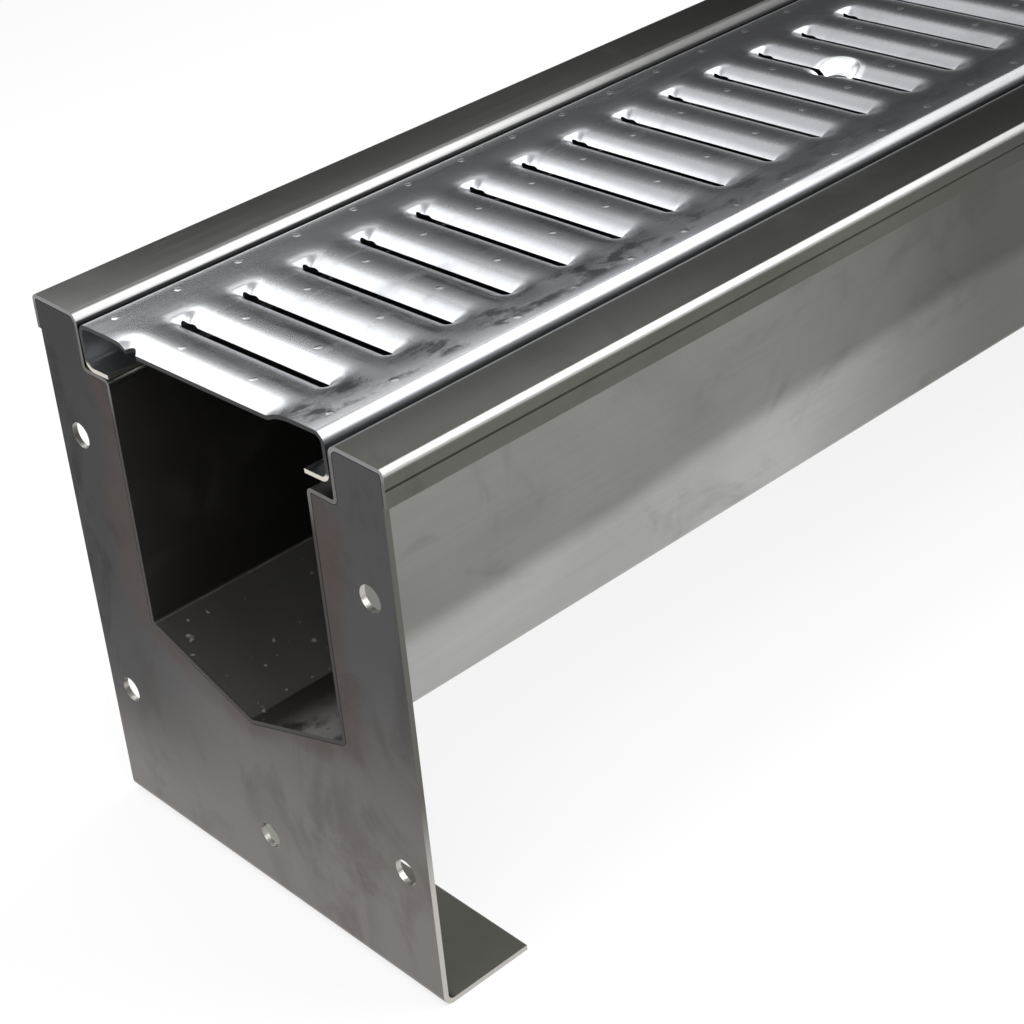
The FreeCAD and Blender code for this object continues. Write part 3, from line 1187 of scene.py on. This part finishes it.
        border = centre[:count] + heading[:count] * reach[:, None]
        nearest = np.abs(straight[:, None] - coarse[None]).argmin(axis=1)
        border[len(turn):, 0] = coarse[nearest]
        stations = (
            centre + heading * cut[:, None],
            centre + heading * rim[:, None],
            np.concatenate([border, -border]),
        )
        return np.stack([np.concatenate([rows, rows[:1]]) for rows in stations])

    def cell(self, locked: bool, lip_rows: np.ndarray, flat_rows: np.ndarray) -> np.ndarray:
        """Top face round a slot: in plan straight from each cut edge to its rim, and on to the cell's border.

        Args:
            locked: whether the slot holds the lock dish.
            lip_rows: rows as shares of the way from the cut edge to the rim.
            flat_rows: rows as shares of the way from the rim to the border.

        Returns:
            Points of shape (rows, stations, 3), with the slot's middle at the origin.
        """
        cut, rim, border = self.loop(locked)
        lip = cut + (rim - cut) * lip_rows[:, None, None]
        flat = rim + (border - rim) * flat_rows[:, None, None]
        plan = np.concatenate([lip, flat])
        level = self.level(plan[..., 0], plan[..., 1], locked)
        return np.concatenate([plan, level[..., None]], axis=-1)

    def add_cells(self, skin: Skin, slots: np.ndarray, locked: bool) -> None:
        """Adds the sheet round some slots: both faces, one sheet apart, and the openings' leaning edges.

        Args:
            skin: skin to add to.
            slots: numbers of the slots.
            locked: whether they hold a lock dish.
        """
        lip_rows = np.linspace(0.0, 1.0, self.lip_steps + 1)
        under_rows = np.linspace(self.edge_lean, 1.0, self.under_steps + 1)
        top = self.cell(locked, lip_rows, np.array(self.flat_rows))
        under = self.cell(locked, under_rows, np.array([1.0])) - self.down()
        cut = np.stack([top[0], under[0]])
        places = np.zeros((len(slots), 1, 1, 3))
        places[:, 0, 0, 1] = self.middle(slots)
        for grid, edge in ((top, 0.0), (under, 0.0), (cut, 1.0)):
            skin.add(self.laid(grid + places), cut_edge=edge)

    def down(self) -> np.ndarray:
        """Step from the top face to the one below it."""
        return np.array([0.0, 0.0, self.sheet])

    def strip_columns(self) -> np.ndarray:
        """X of the points that a slot's cell has on its straight border, from left to right."""
        border = self.loop(False)[2]
        return np.unique(np.round(border[np.isclose(border[:, 1], -self.pitch / 2), 0], 9))

    def add_front_strip(self, skin: Skin, share: np.ndarray) -> None:
        """Adds the sheet between the cut end and the first whole slot's cell.

        Args:
            skin: skin to add to.
            share: rows as shares of the way from the cut end.
        """
        columns = self.strip_columns()
        back = self.cell_end(0)
        start = np.clip(self.half_width(columns, self.notch_half) - self.cut_offset, 0.0, None)
        along = start + (back - start) * share[:, None]
        across = np.broadcast_to(columns, along.shape)
        top = np.stack([across, along, self.level(across, along + self.cut_offset)], axis=-1)
        faces = np.stack([top, top - self.down()])
        skin.add(self.laid(faces))
        skin.add(self.laid(faces[:, 0]), cut_edge=1.0)

    def add_rear_strip(self, skin: Skin, rows: np.ndarray) -> None:
        """Adds the plain sheet behind the last slot's cell, and its cut edge.

        Args:
            skin: skin to add to.
            rows: distances from the cut end.
        """
        columns = self.strip_columns()
        across, along = np.meshgrid(columns, rows)
        top = np.stack([across, along, np.full(across.shape, self.height)], axis=-1)
        faces = np.stack([top, top - self.down()])
        skin.add(self.laid(faces))
        skin.add(self.laid(faces[:, -1]), cut_edge=1.0)

    def add_sides(self, skin: Skin, stations: np.ndarray) -> None:
        """Adds the folded sides: fold, leg, lower fold and return flange, with their cut edges.

        Args:
            skin: skin to add to.
            stations: distances from the cut end.
        """
        half = self.width / 2
        corners = np.array([
            (self.flat_half - self.bend, self.height, 0.0),
            (half, self.height, self.bend),
            (half, 0.0, self.bend),
            (half - self.return_width, 0.0, 0.0),
        ])
        for side in Side:
            faces = []
            for offset in (0.0, self.sheet):
                line = folded_line(corners, self.sheet, offset, self.fold_steps)[1:]
                faces.append(swept(line * (side.value, 1.0), stations))
            both = np.stack(faces)
            skin.add(self.laid(both))
            skin.add(self.laid(both[:, :, -1]), cut_edge=1.0)
            skin.add(self.laid(both[:, [0, -1]].transpose(1, 0, 2, 3)), cut_edge=1.0)

    def add_pips(self, skin: Skin) -> None:
        """Adds the raised pips, one in each column of a bar: a round cap on a short root in the sheet.

        The profile, in shares of the radius and the height, is carried round a circle. Its cap follows
        height times (1 - share of the radius squared).

        Args:
            skin: skin to add to.
        """
        share, rise = np.array(self.pip_profile).T
        turn = np.linspace(0.0, 2 * math.pi, self.pip_sides + 1)
        turn[-1] = turn[0]
        cap = np.stack([
            self.pip_radius * share[:, None] * np.cos(turn),
            self.pip_radius * share[:, None] * np.sin(turn),
            self.height + self.pip_height * rise[:, None] * np.ones_like(turn),
        ], axis=-1)
        bars, columns = np.meshgrid(np.arange(self.slot_count + 1), self.pip_columns, indexing="ij")
        places = np.zeros((bars.size, 1, 1, 3))
        places[:, 0, 0, 0] = columns.ravel()
        places[:, 0, 0, 1] = self.middle(bars.ravel() + self.pip_share)
        skin.add(self.laid(cap + places))

    def build(self) -> bpy.types.Object:
        """Builds the whole grate as one closed skin.

        Returns:
            The new object.
        """
        skin = Skin()
        slots = np.arange(1, self.slot_count + 1)
        locked = np.isin(slots, self.lock_slots)
        self.add_cells(skin, slots[~locked], False)
        self.add_cells(skin, slots[locked], True)
        share = np.linspace(0.0, 1.0, self.strip_steps + 1) ** self.strip_grading
        rear = np.linspace(self.cell_end(self.slot_count), self.length, self.rear_steps + 1)
        self.add_front_strip(skin, share)
        self.add_rear_strip(skin, rear)
        border = self.loop(False)[2]
        side_rows = np.unique(np.round(border[np.isclose(border[:, 0], self.flat_half), 1], 9))
        cells = (self.middle(slots)[:, None] + side_rows).ravel()
        stations = np.unique(np.round(np.concatenate([self.cell_end(0) * share, cells, rear]), 8))
        self.add_sides(skin, stations)
        self.add_pips(skin)
        made = piece("grate_sheet", skin.mesh("grate_sheet", self.crease), GRATE_STEEL)
        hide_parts("grate")
        return made


@dataclass
class EndPlate:
    """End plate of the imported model, dressed, with its weld stitches behind it."""

    end: End
    channel: Channel
    thickness: float = 2.0 * MM
    stitch_length: float = 24.0 * MM
    stitch_leg: float = 3.0 * MM
    stitch_count: int = 9
    stitch_span: tuple[float, float] = (0.16, 0.84)
    stitch_steps: int = 60
    bead_steps: int = 6
    ripple_pitch: float = 2.2 * MM
    ripple: float = 0.09
    crease: float = 50.0

    @property
    def node(self) -> str:
        """Name of the plate's node."""
        return f"{self.end.name.lower()}_end_plate"

    def dress(self) -> bpy.types.Object:
        """Gives the plate its finish and returns its object."""
        return dressed(self.node, PLATE_STEEL)

    def stitches(self) -> bpy.types.Object:
        """Builds the weld stitches in the corner between the plate's back and the channel's under face.

        A stitch is a quarter round carried along the channel's outline: at an angle b it stands
        leg * cos(b) off the channel and leg * sin(b) off the plate, with the leg tapering as a half
        ellipse along the stitch and rippling as a cosine.

        Returns:
            The new object.
        """
        line = self.channel.under_line()
        moved = np.linalg.norm(np.diff(line, axis=0), axis=1) > SMALL
        line = line[np.concatenate([[True], moved])]
        length = np.concatenate([[0.0], np.cumsum(np.linalg.norm(np.diff(line, axis=0), axis=1))])
        middles = np.linspace(*self.stitch_span, self.stitch_count) * length[-1]
        share = np.linspace(-1.0, 1.0, self.stitch_steps + 1)
        along = middles[:, None] + share * self.stitch_length / 2
        path = np.stack([np.interp(along, length, line[:, axis]) for axis in range(2)], axis=-1)
        run = np.gradient(path, axis=1)
        run /= np.linalg.norm(run, axis=-1, keepdims=True)
        right = np.stack([run[..., 1], -run[..., 0]], axis=-1)
        taper = np.sqrt(np.clip(1.0 - share**2, 0.0, None))
        ripple = 1.0 + self.ripple * np.cos(2 * math.pi * along / self.ripple_pitch)
        leg = (self.stitch_leg * taper * ripple)[..., None]
        angle = np.linspace(0.0, math.pi / 2, self.bead_steps + 1)
        off_channel = np.concatenate([np.cos(angle), [0.0, 1.0]])
        off_plate = np.concatenate([np.sin(angle), [0.0, 0.0]])
        plan = path[..., None, :] + right[..., None, :] * (leg * off_channel)[..., None]
        back = self.end.value * (self.channel.rear - self.thickness)
        depth = back - self.end.value * leg * off_plate
        skin = Skin()
        skin.add(np.stack([plan[..., 0], depth, plan[..., 1]], axis=-1))
        name = f"{self.end.name.lower()}_weld_stitches"
        return piece(name, skin.mesh(name, self.crease), WELD_STEEL)


@dataclass
class LockBar:
    """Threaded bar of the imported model, dressed."""

    end: End

    def dress(self) -> bpy.types.Object:
        """Gives the bar its finish and returns its object."""
        return dressed(f"{self.end.name.lower()}_lock_bar", BAR_STEEL)


@dataclass(frozen=True)
class Softbox:
    """Rectangular studio light that looks at a point on the part."""

    name: str
    place: Point
    aim: Point
    size: tuple[float, float]
    radiance: float

    def build(self) -> bpy.types.Object:
        """Adds the light, with the power that gives its face the stated radiance.

        Returns:
            The light's object.
        """
        light = bpy.data.lights.new(self.name, "AREA")
        light.shape = "RECTANGLE"
        light.size, light.size_y = self.size
        light.energy = self.radiance * math.pi * self.size[0] * self.size[1]
        made = bpy.data.objects.new(self.name, light)
        made.location = self.place
        made.rotation_euler = (Vector(self.aim) - Vector(self.place)).to_track_quat("-Z", "Y").to_euler()
        made.visible_camera = False
        bpy.context.scene.collection.objects.link(made)
        return made


@dataclass(frozen=True)
class Studio:
    """White floor, dim room, soft lights and the camera."""

    floor_half: float = 15.0
    floor_paint: Color = (0.9, 0.9, 0.9)
    floor_white: float = 0.8
    room_levels: tuple[tuple[float, float], ...] = (
        (0.0, 0.2), (0.16, 0.18), (0.27, 0.06), (0.34, 0.05), (0.42, 0.17), (0.52, 0.24), (0.9, 0.5),
    )
    room_blue: float = 1.02
    camera_place: Point = (543.4 * MM, -847.4 * MM, 549.0 * MM)
    azimuth: float = 49.21
    elevation: float = 32.25
    roll: float = 5.15
    lens: float = 84.38
    sensor: float = 36.0
    softboxes: tuple[Softbox, ...] = (
        Softbox("back_softbox", (0.2, 0.7, 1.5), (0.0, -0.3, 0.2), (1.5, 1.0), 4.0),
        Softbox("right_softbox", (1.1, 0.65, 0.95), (0.0, -0.3, 0.2), (1.0, 1.0), 4.0),
        Softbox("left_softbox", (-0.42, -0.53, 0.54), (0.0, -0.42, 0.2), (0.54, 0.25), 3.2),
        Softbox("left_card", (-0.42, -0.07, 0.66), (0.0, -0.3, 0.2), (0.42, 0.2), 0.95),
        Softbox("front_softbox", (0.31, -0.75, 0.95), (0.0, -0.4, 0.2), (0.9, 0.9), 3.0),
    )

    def floor(self) -> bpy.types.Object:
        """Adds the floor.

        Returns:
            The floor's object.
        """
        half = self.floor_half
        corners = [(-half, -half, 0), (half, -half, 0), (half, half, 0), (-half, half, 0)]
        mesh = bpy.data.meshes.new("floor")
        mesh.from_pydata(corners, [], [(0, 1, 2, 3)])
        made = bpy.data.objects.new("floor", mesh)
        bpy.context.scene.collection.objects.link(made)
        mesh.materials.append(self.floor_finish())
        return made

    def floor_finish(self) -> bpy.types.Material:
        """Paint that is white to the eye and to the steel, and keeps some of the part's shadow.

        Returns:
            The material.
        """
        material = bpy.data.materials.new("floor_white")
        graph = Graph(material)
        ray = graph.node("LightPath").outputs
        seen = graph.sum(Sum.MAXIMUM, ray["Is Camera Ray"], ray["Is Glossy Ray"])
        seen = graph.sum(Sum.MAXIMUM, seen, ray["Is Transmission Ray"])
        mix = graph.node("MixShader", Fac=graph.both(seen, self.floor_white))
        graph.feed(mix.inputs[1], graph.node("BsdfDiffuse", Color=self.floor_paint).outputs[0])
        graph.feed(mix.inputs[2], graph.node("Emission").outputs[0])
        graph.surface(mix)
        return material

    def room(self) -> None:
        """Sets the room's light: rising with height, apart from a dark band above the horizon."""
        world = bpy.data.worlds.new("room")
        bpy.context.scene.world = world
        graph = Graph(world)
        _, _, height = graph.parts(graph.node("TexCoord").outputs["Generated"])
        ramp = graph.node("ValToRGB", Fac=height)
        elements = ramp.color_ramp.elements
        for position, _ in self.room_levels[2:]:
            elements.new(position)
        for element, (position, level) in zip(elements, self.room_levels):
            element.position = position
            element.color = (level, level, level * self.room_blue, 1.0)
        graph.surface(graph.node("Background", Color=ramp.outputs["Color"]), "OutputWorld")

    def camera(self) -> bpy.types.Object:
        """Adds the camera at the photograph's viewing angle.

        Returns:
            The camera's object.
        """
        turn, rise, roll = (math.radians(angle) for angle in (self.azimuth, self.elevation, self.roll))
        back = Vector((math.sin(turn) * math.cos(rise), -math.cos(turn) * math.cos(rise), math.sin(rise)))
        level = Vector((math.cos(turn), math.sin(turn), 0.0))
        up = back.cross(level)
        right = level * math.cos(roll) - up * math.sin(roll)
        above = back.cross(right)
        data = bpy.data.cameras.new("camera")
        data.lens = self.lens
        data.sensor_width = self.sensor
        made = bpy.data.objects.new("camera", data)
        axes = Matrix((right, above, back)).transposed().to_4x4()
        made.matrix_world = Matrix.Translation(Vector(self.camera_place)) @ axes
        bpy.context.scene.collection.objects.link(made)
        bpy.context.scene.camera = made
        return made

    def build(self) -> None:
        """Sets up the whole studio."""
        self.floor()
        self.room()
        for softbox in self.softboxes:
            softbox.build()
        self.camera()
        bpy.context.scene.view_settings.view_transform = "Standard"


def report(made: bpy.types.Object) -> None:
    """Logs a piece's name and face count."""
    LOG.info("%s: %d faces", made.name, len(made.data.polygons))


def main() -> None:
    """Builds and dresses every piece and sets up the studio."""
    logging.basicConfig(level=logging.INFO, format="%(message)s")
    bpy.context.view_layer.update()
    channel = Channel()
    report(channel.build())
    report(Grate().build())
    for end in End:
        plate = EndPlate(end, channel)
        report(plate.dress())
        report(plate.stitches())
        report(LockBar(end).dress())
    Studio().build()


if __name__ == "__main__":
    main()
